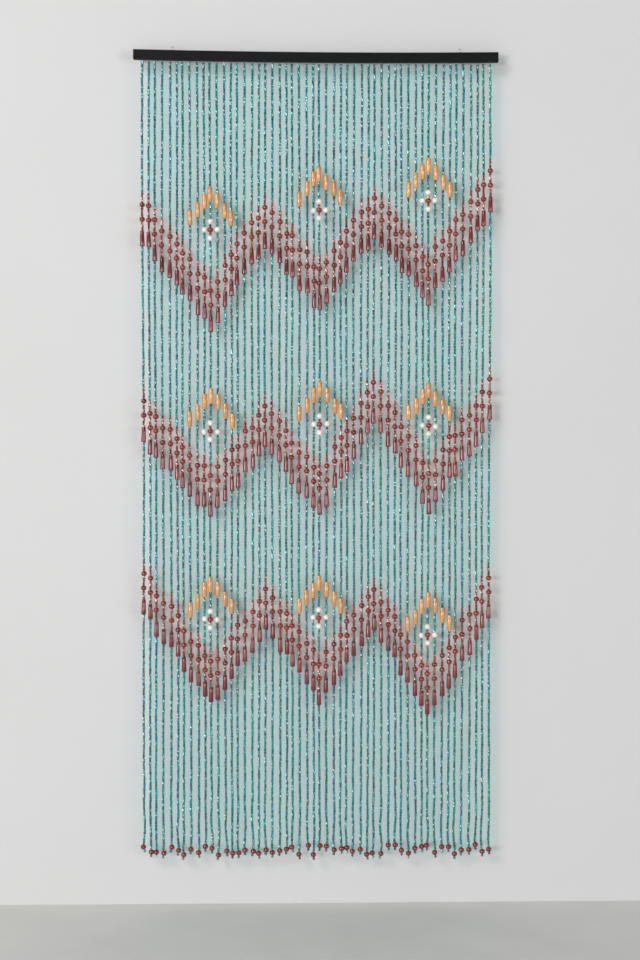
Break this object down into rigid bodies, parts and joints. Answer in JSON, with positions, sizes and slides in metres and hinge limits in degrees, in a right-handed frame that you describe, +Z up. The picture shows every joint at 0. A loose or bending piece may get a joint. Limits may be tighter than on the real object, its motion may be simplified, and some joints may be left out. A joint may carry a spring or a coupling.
{
  "type": "bead curtain with rail",
  "caption": "Doorway curtain of hanging bead strings in zig-zag bands with tubes and flowers, on a narrow painted wooden rail with two screw eyes.",
  "frame": {"origin": "centre of the rail's back face", "axes": "+Y points out of the rail's back face towards the wall, so the front faces -Y; +Z is up and +X is to the right seen from the front"},
  "size_m": [0.9, 0.015, 2.0197],
  "materials": {
    "rail_paint": "satin black paint on a wooden batten",
    "eye_metal": "bright zinc-plated wire",
    "beads_teal": "glossy translucent seed beads",
    "beads_amber": "glossy translucent red-amber seed beads",
    "wood_red": "red lacquer on turned wood",
    "wood_burgundy": "burgundy lacquer on turned wood",
    "wood_orange": "golden-orange lacquer on turned wood",
    "wood_cream": "cream lacquer on turned wood",
    "thread": "waxed grey thread"
  },
  "bodies": {
    "root": {"rail": "rail_paint", "eye_left": "eye_metal", "eye_right": "eye_metal", "strands_1": "beads_teal", "strands_2": "beads_teal", "strands_3": "beads_teal", "strands_4": "beads_teal"}
  },
  "joints": []
}
